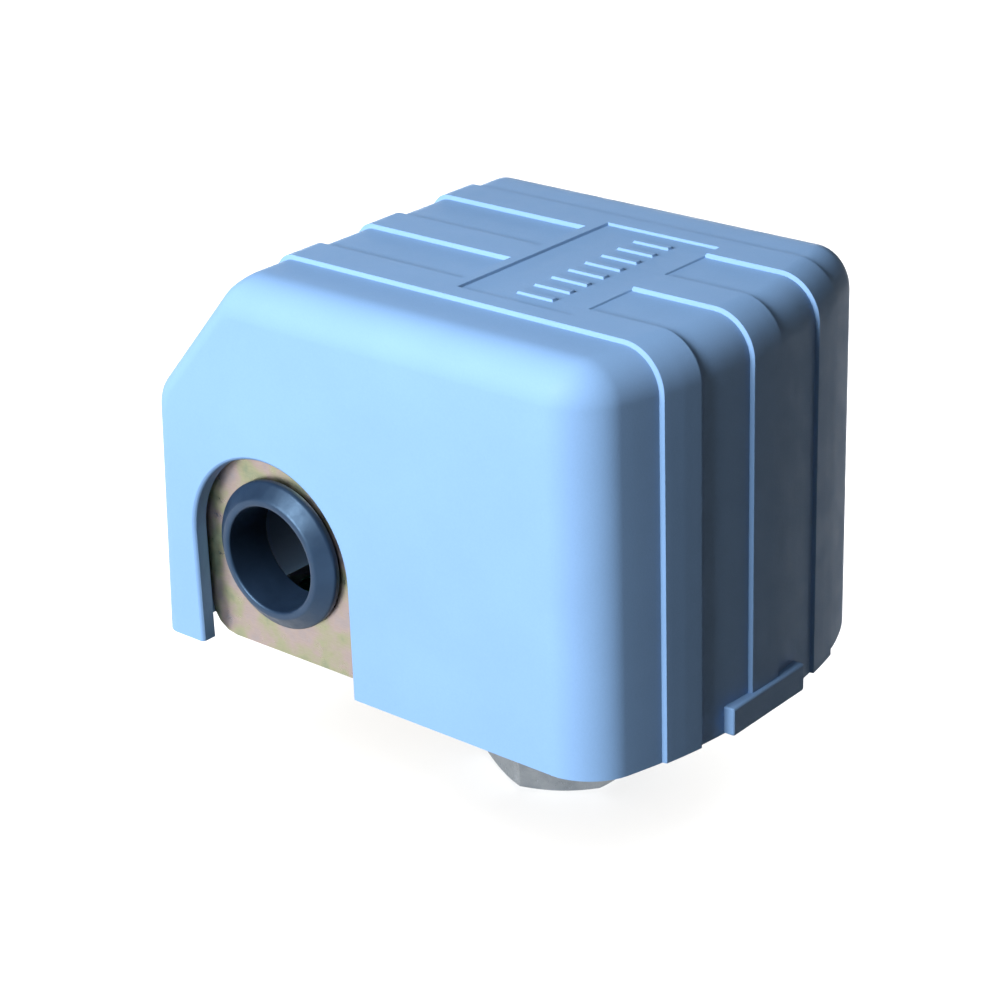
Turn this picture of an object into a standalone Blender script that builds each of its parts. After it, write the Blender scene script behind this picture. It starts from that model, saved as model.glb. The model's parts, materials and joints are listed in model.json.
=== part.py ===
"""Pressure switch: a diaphragm under a sprung lever that opens two contact bridges, in a moulded cover.

The origin is on the axis of the pressure port, at the port's lower face. +X runs along the long side,
-Y is the front, where the first conduit bushing opens, and +Z is up.
"""

import math

import bmesh
import bpy
from mathutils import Matrix, Vector

MM = 0.001
GAP = 0.3 * MM  # between pieces that rest on each other
RUNNING = 0.15 * MM  # radial play of a turning piece
CLEAR = 0.35 * MM  # radial play of a screw in its hole

# Cover
RIM_Z = 21.0 * MM
TOP_Z = 84.6 * MM
HALF_DEPTH = 34.15 * MM
RIM_LEFT_X = -55.4 * MM
SHOULDER_X = -53.1 * MM
SHOULDER_Z = 63.1 * MM
CHAMFER_TOP_X = -34.5 * MM
SIDE_X = 38.4 * MM
SIDE_RADIUS = 92.0 * MM
EDGE_RADIUS = 6.3 * MM
LEFT_RADIUS = 3.0 * MM  # where the front and rear walls meet the left wall and the chamfer
WALL = 2.6 * MM
BAND_HEIGHT = 0.65 * MM
BANDS_Y = ((-21.5 * MM, -14.5 * MM), (-3.5 * MM, 3.5 * MM), (14.5 * MM, 21.5 * MM))
LABEL_X = (-3.4 * MM, 17.5 * MM)
LABEL_Y = (-17.8 * MM, 17.8 * MM)
LABEL_MARGIN = 2.1 * MM
LABEL_DEPTH = 0.4 * MM
MARKS = 8
MARK_LENGTH = 6.6 * MM
SLOT_RADIUS = 16.25 * MM
REAR_RIM_RADIUS = 11.0 * MM
GRIP_Y = (-9.2 * MM, 9.2 * MM)
GRIP_HEIGHT = 4.6 * MM
GRIP_REACH = 0.75 * MM

# Cover nut and the stud that it holds on
NUT_X = -43.0 * MM
POCKET_RADIUS = 6.0 * MM
POCKET_Z = 68.0 * MM
POCKET_FLOOR = 2.2 * MM
COVER_STUD_RADIUS = 2.0 * MM

# Bracket
SHEET = 1.6 * MM
PLATE_Z = 22.3 * MM
PLATE_TOP = PLATE_Z + SHEET
PLATE_HALF = 29.3 * MM
PLATE_X = (-48.5 * MM, 31.0 * MM)
EAR_X = (-47.0 * MM, -12.0 * MM)
EAR_TOP = 58.6 * MM
EAR_FACE = 30.85 * MM
TAB_Z = 52.4 * MM

# Conduit bushing
CONDUIT_X = -30.1 * MM
CONDUIT_Z = 40.0 * MM
CONDUIT_BORE = 8.6 * MM
CONDUIT_RING = 9.95 * MM
CONDUIT_FLANGE = 12.2 * MM
CONDUIT_NECK = 10.6 * MM
CONDUIT_LIP = 11.4 * MM

# Pressure side
HEX_FLATS = 22.0 * MM
HEX_TURN = math.radians(-26)
PORT_BORE = 5.9 * MM
PORT_DEPTH = 12.0 * MM
FLANGE_Z = 13.3 * MM
FLANGE_TOP = 18.0 * MM
FLANGE_RADIUS = 21.0 * MM
CHAMBER_RADIUS = 14.0 * MM
SCREW_CIRCLE = 17.3 * MM
PLUNGER_RADIUS = 4.5 * MM

# Lever and its pivot
PIVOT_X = 28.0 * MM
PIVOT_Z = 33.6 * MM
LEVER_Z = 30.5 * MM
LEVER_TOP = 32.5 * MM
LEVER_HALF = 9.0 * MM
LEVER_END_X = -18.0 * MM
PIN_RADIUS = 1.5 * MM

# Springs and their adjusters
RANGE_X = 13.0 * MM
DIFFERENTIAL_X = -9.0 * MM
RANGE_SEAT_Z = 58.7 * MM
DIFFERENTIAL_SEAT_Z = 52.0 * MM

# Contact block, terminals and contacts
BLOCK_X = (-48.0 * MM, -18.0 * MM)
BLOCK_Z = (54.3 * MM, 61.0 * MM)
BLOCK_HALF = 23.0 * MM
TERMINALS_Y = (-17.0 * MM, -6.0 * MM, 6.0 * MM, 17.0 * MM)
TERMINAL_X = -33.0 * MM
CONTACT_X = -21.0 * MM
PLATE_HALF_WIDTH = 3.3 * MM
PLATE_THICK = 1.0 * MM
BRIDGE_Z = 63.6 * MM
CARRIER_TOP = 72.5 * MM

SCREW_RADIUS = 1.5 * MM
FINE = 32
COARSE = 16
SQUARE = math.radians(58)  # an envelope edge that turns by more than this gets rounded

# Shapes whose joined faces lie too close together for the exact solver
CLOSE_FACED = ("cover", "bands", "port_body")

for old in list(bpy.data.objects):
    bpy.data.objects.remove(old, do_unlink=True)

scene = bpy.context.scene
parts = bpy.data.collections.new("pressure_switch")
cutters = bpy.data.collections.new("cutters")
scene.collection.children.link(parts)
scene.collection.children.link(cutters)


# Materials

def material(name, colour, roughness, metallic=0.0):
    made = bpy.data.materials.new(name)
    made.use_nodes = True
    made.diffuse_color = (*colour, 1.0)
    shader = made.node_tree.nodes["Principled BSDF"]
    shader.inputs["Base Color"].default_value = (*colour, 1.0)
    shader.inputs["Roughness"].default_value = roughness
    shader.inputs["Metallic"].default_value = metallic
    return made


COVER_BLUE = material("cover_plastic", (0.17, 0.33, 0.50), 0.5)
YELLOW_ZINC = material("yellow_zinc", (0.62, 0.50, 0.28), 0.38, 1.0)
BLACK_RUBBER = material("black_rubber", (0.02, 0.025, 0.04), 0.6)
BRIGHT_ZINC = material("bright_zinc", (0.55, 0.55, 0.56), 0.35, 1.0)
SPRING_STEEL = material("spring_steel", (0.40, 0.40, 0.42), 0.3, 1.0)
BLACK_PHENOLIC = material("black_phenolic", (0.025, 0.022, 0.02), 0.45)
BRASS = material("brass", (0.72, 0.52, 0.22), 0.3, 1.0)
WHITE_NYLON = material("white_nylon", (0.75, 0.73, 0.68), 0.45)
GREEN_SCREW = material("green_screw", (0.05, 0.30, 0.10), 0.35, 0.6)


# Shape helpers

def keep(obj, collection, look=None):
    """Puts an object in its collection, and gives it its material or marks it as a cutter."""
    for holder in list(obj.users_collection):
        holder.objects.unlink(obj)
    collection.objects.link(obj)
    if look is None:
        obj.hide_render = True
        obj.display_type = "WIRE"
    else:
        obj.data.materials.clear()
        obj.data.materials.append(look)
    return obj


def from_bmesh(name, shape, collection, look=None):
    data = bpy.data.meshes.new(name)
    shape.to_mesh(data)
    shape.free()
    obj = bpy.data.objects.new(name, data)
    scene.collection.objects.link(obj)
    return keep(obj, collection, look)


def box(name, low, high, look=None):
    shape = bmesh.new()
    bmesh.ops.create_cube(shape, size=1.0)
    size = Vector(high) - Vector(low)
    place = Matrix.Translation((Vector(low) + Vector(high)) / 2) @ Matrix.Diagonal((*size, 1.0))
    bmesh.ops.transform(shape, matrix=place, verts=shape.verts)
    return from_bmesh(name, shape, parts if look else cutters, look)


def along(axis):
    """The rotation that carries +Z onto an axis."""
    return Vector((0, 0, 1)).rotation_difference(Vector(axis)).to_matrix().to_4x4()


def cylinder(name, base, radius, length, look=None, axis=(0, 0, 1), sides=FINE, turn=0.0):
    """A cylinder from base along axis; six sides make a hexagon with its corners at radius."""
    shape = bmesh.new()
    bmesh.ops.create_cone(shape, cap_ends=True, segments=sides, radius1=radius, radius2=radius, depth=length)
    lift = Matrix.Translation((0, 0, length / 2)) @ Matrix.Rotation(turn, 4, "Z")
    bmesh.ops.transform(shape, matrix=Matrix.Translation(base) @ along(axis) @ lift, verts=shape.verts)
    return from_bmesh(name, shape, parts if look else cutters, look)


def hexagon(name, base, flats, length, look=None, turn=0.0):
    return cylinder(name, base, flats / math.sqrt(3), length, look, sides=6, turn=turn)


def turned(name, profile, look=None, place=(0, 0, 0), axis=(0, 0, 1), sides=FINE, closed=False):
    """A profile of (radius, height) points, from the top down its outer side, turned about its axis."""
    shape = bmesh.new()
    points = [shape.verts.new((radius, 0, height)) for radius, height in profile]
    for start, end in zip(points, points[1:]):
        shape.edges.new((start, end))
    if closed:
        shape.edges.new((points[-1], points[0]))
    obj = from_bmesh(name, shape, parts if look else cutters, look)
    screw = obj.modifiers.new("Turn", "SCREW")
    screw.angle = math.tau
    screw.steps = sides
    screw.render_steps = sides
    screw.use_merge_vertices = True
    screw.merge_threshold = 0.00001
    obj.matrix_world = Matrix.Translation(place) @ along(axis)
    return obj


def as_mesh(curve, collection, look=None):
    """Replaces a curve object by its welded mesh."""
    bpy.context.view_layer.update()
    source = curve.evaluated_get(bpy.context.evaluated_depsgraph_get())
    data = bpy.data.meshes.new_from_object(source)
    shape = bmesh.new()
    shape.from_mesh(data)
    bmesh.ops.remove_doubles(shape, verts=shape.verts, dist=0.000001)
    shape.to_mesh(data)
    shape.free()
    name = curve.name
    place = curve.matrix_world.copy()
    bpy.data.objects.remove(curve, do_unlink=True)
    obj = bpy.data.objects.new(name, data)
    scene.collection.objects.link(obj)
    obj.matrix_world = place
    return keep(obj, collection, look)


def flat(name, points, thickness, place, look=None):
    """A flat outline of (x, y) points, thickness deep, centred on the plane that place gives."""
    data = bpy.data.curves.new(name, "CURVE")
    data.dimensions = "2D"
    data.fill_mode = "BOTH"
    data.extrude = thickness / 2
    spline = data.splines.new("POLY")
    spline.points.add(len(points) - 1)
    for point, (x, y) in zip(spline.points, points):
        point.co = (x, y, 0, 1)
    spline.use_cyclic_u = True
    obj = bpy.data.objects.new(name, data)
    scene.collection.objects.link(obj)
    obj.matrix_world = place
    return as_mesh(obj, parts if look else cutters, look)


UPRIGHT = Matrix(((1, 0, 0, 0), (0, 0, -1, 0), (0, 1, 0, 0), (0, 0, 0, 1)))  # outline's y becomes +Z


def arc(centre, radius, start, end, steps):
    """Points on a circle from one angle to another, in degrees."""
    angles = [math.radians(start + (end - start) * i / steps) for i in range(steps + 1)]
    return [(centre[0] + radius * math.cos(a), centre[1] + radius * math.sin(a)) for a in angles]


def rounded(low, high, radius, steps=4):
    """A rectangle's outline with round corners."""
    corners = ((low[0], low[1], 180), (high[0], low[1], 270), (high[0], high[1], 0), (low[0], high[1], 90))
    middle = Vector(((low[0] + high[0]) / 2, (low[1] + high[1]) / 2))
    points = []
    for x, y, start in corners:
        centre = (x + math.copysign(radius, middle.x - x), y + math.copysign(radius, middle.y - y))
        points += arc(centre, radius, start, start + 90, steps)
    return points


def boolean(target, other, operation):
    change = target.modifiers.new(operation.title(), "BOOLEAN")
    change.operation = operation
    change.object = other
    change.solver = "MANIFOLD" if target.name in CLOSE_FACED else "EXACT"
    if other.name in parts.objects:
        keep(other, cutters)


def cut(target, *others):
    for other in others:
        boolean(target, other, "DIFFERENCE")


def join(target, *others):
    for other in others:
        boolean(target, other, "UNION")


def meet(target, other):
    boolean(target, other, "INTERSECT")


def hole(target, x, y, low, high, radius, sides=COARSE):
    cut(target, cylinder(f"{target.name}_hole", (x, y, low), radius, high - low, sides=sides))


def cross_hole(target, x, z, reach, radius, sides=COARSE):
    base = (x, -reach, z)
    cut(target, cylinder(f"{target.name}_bore", base, radius, 2 * reach, axis=(0, 1, 0), sides=sides))


# Cover

def side_x(y):
    """The bulged right side's place in plan."""
    return SIDE_X - SIDE_RADIUS + math.sqrt(SIDE_RADIUS**2 - y**2)


def cover_block(name, grow, low=0.0):
    """The cover's envelope from low up, every outer face moved out by grow, with round edges."""
    depth = HALF_DEPTH + min(grow, 0)
    far = -70 * MM
    steps = 8
    bulge = depth - 1.5 * EDGE_RADIUS
    side = [-depth] + [bulge * (2 * i / steps - 1) for i in range(steps + 1)] + [depth]
    plan = [(far, -depth)] + [(side_x(y) + grow, y) for y in side] + [(far, depth)]
    high = TOP_Z + grow
    middle = (low + high) / 2
    obj = flat(name, plan, high - low, Matrix.Translation((0, 0, middle)))
    shape = bmesh.new()
    shape.from_mesh(obj.data)
    wall = Vector((SHOULDER_X - RIM_LEFT_X, 0, SHOULDER_Z - RIM_Z)).normalized()
    slope = Vector((CHAMFER_TOP_X - SHOULDER_X, 0, TOP_Z - SHOULDER_Z)).normalized()
    for direction in (wall, slope):
        outward = Vector((-direction.z, 0, direction.x))
        point = Vector((SHOULDER_X, 0, SHOULDER_Z - middle)) + outward * grow
        everything = shape.verts[:] + shape.edges[:] + shape.faces[:]
        sliced = bmesh.ops.bisect_plane(
            shape, geom=everything, plane_co=point, plane_no=outward, clear_outer=True
        )
        rim = [edge for edge in sliced["geom_cut"] if isinstance(edge, bmesh.types.BMEdge)]
        bmesh.ops.contextual_create(shape, geom=rim)
    bmesh.ops.recalc_face_normals(shape, faces=shape.faces)
    shares = shape.edges.layers.float.new("bevel_weight_edge")
    small = (LEFT_RADIUS + grow) / (EDGE_RADIUS + grow)
    for edge in shape.edges:
        if edge.calc_face_angle(0.0) > SQUARE:
            on_left = any(face.normal.x < -0.5 for face in edge.link_faces)
            edge[shares] = small if on_left else 1.0
    shape.to_mesh(obj.data)
    shape.free()
    bevel = obj.modifiers.new("Edges", "BEVEL")
    bevel.width = EDGE_RADIUS + grow
    bevel.segments = 5
    bevel.limit_method = "WEIGHT"
    bevel.use_clamp_overlap = False
    return obj


def slot_cutter(name, side):
    """The arched opening for a conduit bushing, open at the rim."""
    left = CONDUIT_X - SLOT_RADIUS
    right = CONDUIT_X + SLOT_RADIUS
    below = RIM_Z - 5 * MM
    outline = [(left, below), (right, below)] + arc((CONDUIT_X, CONDUIT_Z), SLOT_RADIUS, 0, 180, 20)
    place = Matrix.Translation((0, side * HALF_DEPTH, 0)) @ UPRIGHT
    return flat(name, outline, 9 * MM, place)


def rear_rim_cutter():
    """What the round lower edge of the rear wall leaves out."""
    centre = (HALF_DEPTH - REAR_RIM_RADIUS, RIM_Z + REAR_RIM_RADIUS)
    below = (HALF_DEPTH + 3 * MM, RIM_Z - 3 * MM)
    outline = arc(centre, REAR_RIM_RADIUS, -90, 0, 6)
    outline = [(outline[0][0], below[1])] + outline + [(below[0], outline[-1][1]), below]
    place = Matrix(((0, 0, 1, 0), (1, 0, 0, 0), (0, 1, 0, 0), (0, 0, 0, 1)))
    return flat("rear_rim_cutter", outline, 140 * MM, place)


def raised_bands():
    """The three bands across the top and both sides, with the label's margin and its recess."""
    bands = cover_block("bands", BAND_HEIGHT, RIM_Z - 12 * MM)
    reach = 80 * MM
    pattern = box("band_pattern", (LABEL_X[0] - LABEL_MARGIN, BANDS_Y[0][0] + 1 * MM, TOP_Z - 4 * MM),
                  (LABEL_X[0] + 0.6 * MM, BANDS_Y[2][1] - 1 * MM, TOP_Z + 4 * MM))
    for number, (front, back) in enumerate(BANDS_Y):
        join(pattern, box(f"band_slab_{number}", (-reach, front, -reach), (reach, back, TOP_Z + 6 * MM)))
    meet(bands, pattern)
    cut(bands, box("label_recess", (LABEL_X[0], LABEL_Y[0], TOP_Z + 0.05 * MM),
                   (LABEL_X[1], LABEL_Y[1], TOP_Z + 5 * MM)))
    return bands


def label_floor():
    """The label's ground, with a row of plain raised marks."""
    level = TOP_Z + BAND_HEIGHT - LABEL_DEPTH
    edge = 0.2 * MM
    floor = box("label_floor", (LABEL_X[0] - edge, LABEL_Y[0] - edge, TOP_Z - 2 * MM),
                (LABEL_X[1] + edge, LABEL_Y[1] + edge, level))
    pitch = (LABEL_Y[1] - LABEL_Y[0]) / (MARKS + 1)
    right = LABEL_X[1] - 6.0 * MM
    for number in range(MARKS):
        y = LABEL_Y[0] + pitch * (number + 1)
        low = (right - MARK_LENGTH, y - 0.6 * MM, level - 1 * MM)
        join(floor, box(f"mark_{number}", low, (right, y + 0.6 * MM, level + 0.35 * MM)))
    return floor


def make_cover():
    cover = keep(cover_block("cover", 0.0), parts, COVER_BLUE)
    cover.hide_render = False
    cover.display_type = "TEXTURED"
    grip_low = (SIDE_X - 5 * MM, GRIP_Y[0], RIM_Z)
    grip = box("grip", grip_low, (SIDE_X + BAND_HEIGHT + GRIP_REACH, GRIP_Y[1], RIM_Z + GRIP_HEIGHT))
    join(cover, raised_bands(), label_floor(), grip)
    cut(cover, cover_block("cavity", -WALL, -4 * MM))
    boss = cylinder("nut_boss", (NUT_X, 0, POCKET_Z - POCKET_FLOOR), POCKET_RADIUS + 2 * MM, 14 * MM, sides=24)
    meet(boss, cover_block("boss_envelope", -0.4 * MM))
    join(cover, boss)
    cut(cover, cylinder("nut_pocket", (NUT_X, 0, POCKET_Z), POCKET_RADIUS, 20 * MM, sides=24))
    hole(cover, NUT_X, 0, POCKET_Z - 6 * MM, POCKET_Z + 2 * MM, COVER_STUD_RADIUS + CLEAR)
    cut(cover, box("rim_cutter", (-90 * MM, -60 * MM, -5 * MM), (90 * MM, 60 * MM, RIM_Z)))
    cut(cover, slot_cutter("front_slot", -1), slot_cutter("rear_slot", 1), rear_rim_cutter())


def make_cover_fixing():
    floor = POCKET_Z + GAP
    nut = hexagon("cover_nut", (NUT_X, 0, floor), 8 * MM, 4 * MM, BRIGHT_ZINC)
    dome = [(0.0, 5.6 * MM), (1.6 * MM, 5.3 * MM), (2.8 * MM, 4.4 * MM), (3.3 * MM, 3.2 * MM), (0.0, 3.0 * MM)]
    join(nut, turned("cover_nut_dome", dome, place=(NUT_X, 0, floor), sides=COARSE))
    hole(nut, NUT_X, 0, floor - 1 * MM, floor + 4.4 * MM, COVER_STUD_RADIUS + CLEAR)
    foot = BLOCK_Z[1] + GAP
    stud = hexagon("cover_stud", (NUT_X, 0, foot), 7 * MM, 2.6 * MM, BRIGHT_ZINC)
    join(stud, cylinder("cover_stud_shank", (NUT_X, 0, foot + 1 * MM), COVER_STUD_RADIUS,
                        floor + 3.8 * MM - foot - 1 * MM, sides=COARSE))


# Bracket and bushings

def ear(side):
    """An upright ear with its conduit hole, and the two tabs that hold the contact block."""
    low = (EAR_X[0], PLATE_Z)
    high = (EAR_X[1], EAR_TOP)
    place = Matrix.Translation((0, side * (EAR_FACE - SHEET / 2), 0)) @ UPRIGHT
    return flat(f"ear_{side}", rounded(low, high, 5 * MM), SHEET, place)


def make_bracket():
    low = (PLATE_X[0], -PLATE_HALF)
    high = (PLATE_X[1], PLATE_HALF)
    place = Matrix.Translation((0, 0, PLATE_Z + SHEET / 2))
    bracket = flat("bracket", rounded(low, high, 3 * MM), SHEET, place, YELLOW_ZINC)
    for side in (-1, 1):
        inner = side * (EAR_FACE - 0.8 * MM)
        foot_y = sorted((side * (PLATE_HALF - 5 * MM), inner))
        foot = box(f"ear_foot_{side}", (EAR_X[0] + 5 * MM, foot_y[0], PLATE_Z),
                   (EAR_X[1] - 5 * MM, foot_y[1], PLATE_TOP))
        join(bracket, ear(side), foot)
        tab_y = sorted((side * 13.5 * MM, inner))
        for number, (left, right) in enumerate(((-47 * MM, -39 * MM), (-26 * MM, -14 * MM))):
            tab = box(f"tab_{side}_{number}", (left, tab_y[0], TAB_Z), (right, tab_y[1], TAB_Z + SHEET))
            join(bracket, tab)
        rail_y = sorted((side * PLATE_HALF, side * (PLATE_HALF - SHEET)))
        join(bracket, box(f"rail_{side}", (-8 * MM, rail_y[0], PLATE_Z + 0.2 * MM),
                          (PLATE_X[1] - 3.2 * MM, rail_y[1], PLATE_Z + 8 * MM)))
        lug_y = side * (LEVER_HALF + 1 * MM + GAP + SHEET / 2)
        lug = rounded((PIVOT_X - 4 * MM, PLATE_Z + 0.5 * MM), (PIVOT_X + 2.8 * MM, PIVOT_Z + 3.4 * MM), 2.2 * MM)
        join(bracket, flat(f"lug_{side}", lug, SHEET, Matrix.Translation((0, lug_y, 0)) @ UPRIGHT))
        hole(bracket, NUT_X, side * 18 * MM, TAB_Z - 1 * MM, TAB_Z + 3 * MM, SCREW_RADIUS + CLEAR)
    cross_hole(bracket, CONDUIT_X, CONDUIT_Z, 40 * MM, CONDUIT_NECK + GAP, FINE)
    cross_hole(bracket, PIVOT_X, PIVOT_Z, 14 * MM, PIN_RADIUS + RUNNING)
    hole(bracket, 0, 0, PLATE_Z - 1 * MM, PLATE_TOP + 1 * MM, PLUNGER_RADIUS + CLEAR, 24)
    for x, y in housing_screws():
        hole(bracket, x, y, PLATE_Z - 1 * MM, PLATE_TOP + 1 * MM, SCREW_RADIUS + CLEAR)
    for x, y in EARTH_SCREWS:
        hole(bracket, x, y, PLATE_Z - 1 * MM, PLATE_TOP + 1 * MM, SCREW_RADIUS + CLEAR)


def make_bushing(name, side):
    """A rubber bushing snapped in an ear, its profile running inwards from the outer ring."""
    front = HALF_DEPTH
    inside = EAR_FACE - SHEET - GAP
    outer = EAR_FACE + GAP
    profile = [
        (CONDUIT_BORE, front),
        (CONDUIT_RING, front),
        (CONDUIT_FLANGE, front - 2.0 * MM),
        (CONDUIT_FLANGE, outer),
        (CONDUIT_NECK, outer),
        (CONDUIT_NECK, inside),
        (CONDUIT_LIP, inside),
        (CONDUIT_LIP, inside - 1.2 * MM),
        (CONDUIT_NECK, inside - 3.4 * MM),
        (CONDUIT_BORE, inside - 3.4 * MM),
    ]
    turned(name, profile, BLACK_RUBBER, (CONDUIT_X, 0, CONDUIT_Z), (0, side, 0), closed=True)


# Screws and nuts

def make_screw(name, x, y, head_z, down, look, head=(3.0 * MM, 2.2 * MM), length=8 * MM, slot=0.0):
    """A slotted pan-head screw whose head sits at head_z; down is +1 when the shank points down."""
    radius, height = head
    profile = [
        (0.0, height),
        (radius * 0.8, height),
        (radius, height * 0.6),
        (radius, 0.0),
        (SCREW_RADIUS, 0.0),
        (SCREW_RADIUS, -length),
        (0.0, -length),
    ]
    screw = turned(name, profile, look, (x, y, head_z), (0, 0, down), COARSE)
    half = 0.4 * MM
    groove = box(f"{name}_slot", (-5 * MM, -half, height * 0.5), (5 * MM, half, height * 2))
    groove.matrix_world = Matrix.Translation((x, y, head_z)) @ along((0, 0, down)) @ Matrix.Rotation(slot, 4, "Z")
    cut(screw, groove)
    return screw


def housing_screws():
    angles = [math.radians(45 + 90 * i) for i in range(4)]
    return [(SCREW_CIRCLE * math.cos(a), SCREW_CIRCLE * math.sin(a)) for a in angles]


EARTH_SCREWS = ((-40 * MM, -14 * MM), (-40 * MM, 14 * MM))


def make_nut(name, x, base, flats, height, bore, look):
    nut = hexagon(name, (x, 0, base), flats, height, look)
    hole(nut, x, 0, base - 1 * MM, base + height + 1 * MM, bore)
    crown = [(flats * 0.45, height), (flats * 0.60, height * 0.75), (flats * 0.60, 0.0), (0.0, 0.0)]
    meet(nut, turned(f"{name}_crown", [(0.0, height)] + crown, place=(x, 0, base), sides=24))


# Pressure side

def make_port():
    port = hexagon("port_body", (0, 0, 0), HEX_FLATS, FLANGE_Z + 1 * MM, BRIGHT_ZINC, HEX_TURN)
    corner = HEX_FLATS / math.sqrt(3)
    crown = [
        (0.0, FLANGE_Z + 2 * MM),
        (corner + 1 * MM, FLANGE_Z + 2 * MM),
        (corner + 1 * MM, 1.2 * MM),
        (HEX_FLATS * 0.475, 0.0),
        (0.0, 0.0),
    ]
    meet(port, turned("port_crown", crown))
    flange = [
        (0.0, FLANGE_TOP),
        (FLANGE_RADIUS, FLANGE_TOP),
        (FLANGE_RADIUS, FLANGE_Z + 0.8 * MM),
        (FLANGE_RADIUS - 0.8 * MM, FLANGE_Z),
        (0.0, FLANGE_Z),
    ]
    join(port, turned("port_flange", flange, sides=40))
    waterway = [
        (0.0, FLANGE_TOP + 2 * MM),
        (CHAMBER_RADIUS, FLANGE_TOP + 2 * MM),
        (CHAMBER_RADIUS, FLANGE_TOP - 2 * MM),
        (1.6 * MM, FLANGE_TOP - 2 * MM),
        (1.6 * MM, PORT_DEPTH + 1.5 * MM),
        (PORT_BORE, PORT_DEPTH),
        (PORT_BORE, -2 * MM),
        (0.0, -2 * MM),
    ]
    cut(port, turned("port_waterway", waterway))
    for x, y in housing_screws():
        hole(port, x, y, FLANGE_Z - 2 * MM, FLANGE_TOP + 2 * MM, SCREW_RADIUS + CLEAR)
    for number, (x, y) in enumerate(housing_screws(), 1):
        make_screw(f"housing_screw_{number}", x, y, FLANGE_Z - GAP, -1, BRIGHT_ZINC,
                   length=PLATE_TOP + 1.4 * MM - FLANGE_Z, slot=0.4 * number)


def make_diaphragm():
    base = FLANGE_TOP + GAP
    profile = [
        (0.0, base + 1.2 * MM),
        (9.0 * MM, base + 1.2 * MM),
        (9.6 * MM, base + 1.0 * MM),
        (FLANGE_RADIUS - 0.5 * MM, base + 1.0 * MM),
        (FLANGE_RADIUS - 0.5 * MM, base),
        (0.0, base),
    ]
    diaphragm = turned("diaphragm", profile, BLACK_RUBBER, sides=40)
    ring_low = base + 1.0 * MM + GAP
    ring_high = PLATE_Z - GAP
    ring_profile = [
        (12.0 * MM, ring_high),
        (FLANGE_RADIUS - 0.5 * MM, ring_high),
        (FLANGE_RADIUS - 0.5 * MM, ring_low),
        (12.0 * MM, ring_low),
    ]
    ring = turned("clamp_ring", ring_profile, BRIGHT_ZINC, sides=40, closed=True)
    for x, y in housing_screws():
        hole(diaphragm, x, y, base - 1 * MM, base + 3 * MM, SCREW_RADIUS + CLEAR)
        hole(ring, x, y, ring_low - 1 * MM, ring_high + 1 * MM, SCREW_RADIUS + CLEAR)


def make_plunger():
    disc = FLANGE_TOP + 1.2 * MM + 2 * GAP
    tip = LEVER_Z - GAP
    profile = [
        (0.0, tip),
        (PLUNGER_RADIUS * 0.5, tip - 0.2 * MM),
        (PLUNGER_RADIUS, tip - 1.6 * MM),
        (PLUNGER_RADIUS, disc + 1.2 * MM),
        (9.0 * MM, disc + 1.2 * MM),
        (9.0 * MM, disc),
        (0.0, disc),
    ]
    turned("plunger", profile, WHITE_NYLON, sides=24)


# Lever and springs

def make_lever():
    """The lever's object has its origin on the pivot axis."""
    lever = box("lever", (LEVER_END_X, -LEVER_HALF, LEVER_Z), (31 * MM, LEVER_HALF, LEVER_TOP), YELLOW_ZINC)
    for side in (-1, 1):
        cheek = rounded((21 * MM, LEVER_Z + 0.1 * MM), (31 * MM, PIVOT_Z + 3 * MM), 2 * MM)
        place = Matrix.Translation((0, side * (LEVER_HALF + 0.2 * MM), 0)) @ UPRIGHT
        join(lever, flat(f"lever_cheek_{side}", cheek, SHEET, place))
    hole(lever, RANGE_X, 0, LEVER_Z - 1 * MM, LEVER_TOP + 1 * MM, 3.7 * MM)
    hole(lever, DIFFERENTIAL_X, 0, LEVER_Z - 1 * MM, LEVER_TOP + 1 * MM, 2.8 * MM)
    cross_hole(lever, PIVOT_X, PIVOT_Z, 14 * MM, PIN_RADIUS + RUNNING)
    return lever


def make_pin():
    reach = LEVER_HALF + 1 * MM + GAP + SHEET
    pin = [
        (0.0, reach + 1.4 * MM),
        (2.6 * MM, reach + 1.4 * MM),
        (2.6 * MM, reach + GAP),
        (PIN_RADIUS, reach + GAP),
        (PIN_RADIUS, -reach - 1.8 * MM),
        (0.0, -reach - 1.8 * MM),
    ]
    turned("pivot_pin", pin, SPRING_STEEL, (PIVOT_X, 0, PIVOT_Z), (0, -1, 0), COARSE)
    clip = [
        (PIN_RADIUS + GAP, -reach - GAP),
        (2.9 * MM, -reach - GAP),
        (2.9 * MM, -reach - GAP - 0.7 * MM),
        (PIN_RADIUS + GAP, -reach - GAP - 0.7 * MM),
    ]
    turned("pin_clip", clip, SPRING_STEEL, (PIVOT_X, 0, PIVOT_Z), (0, -1, 0), COARSE, closed=True)


def make_spring(name, x, y, low, high, radius, wire, turns, look):
    """A compression spring with its end turns closed up, as a swept wire."""
    per_turn = 10
    count = int(turns * per_turn)
    span = high - low - 2 * wire
    data = bpy.data.curves.new(name, "CURVE")
    data.dimensions = "3D"
    data.bevel_depth = wire
    data.bevel_resolution = 2
    data.use_fill_caps = True
    spline = data.splines.new("POLY")
    spline.points.add(count)
    end = 2.1 * wire / span
    for i, point in enumerate(spline.points):
        turn = i / per_turn
        ease = min(max((turn - 1) / (turns - 2), 0.0), 1.0)
        rise = end * min(turn, 1.0) + (1 - 2 * end) * ease + end * max(turn - (turns - 1), 0.0)
        angle = math.tau * turn
        point.co = (radius * math.cos(angle), radius * math.sin(angle), wire + span * rise, 1)
    obj = bpy.data.objects.new(name, data)
    scene.collection.objects.link(obj)
    obj.location = (x, y, low)
    return as_mesh(obj, parts, look)


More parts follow.
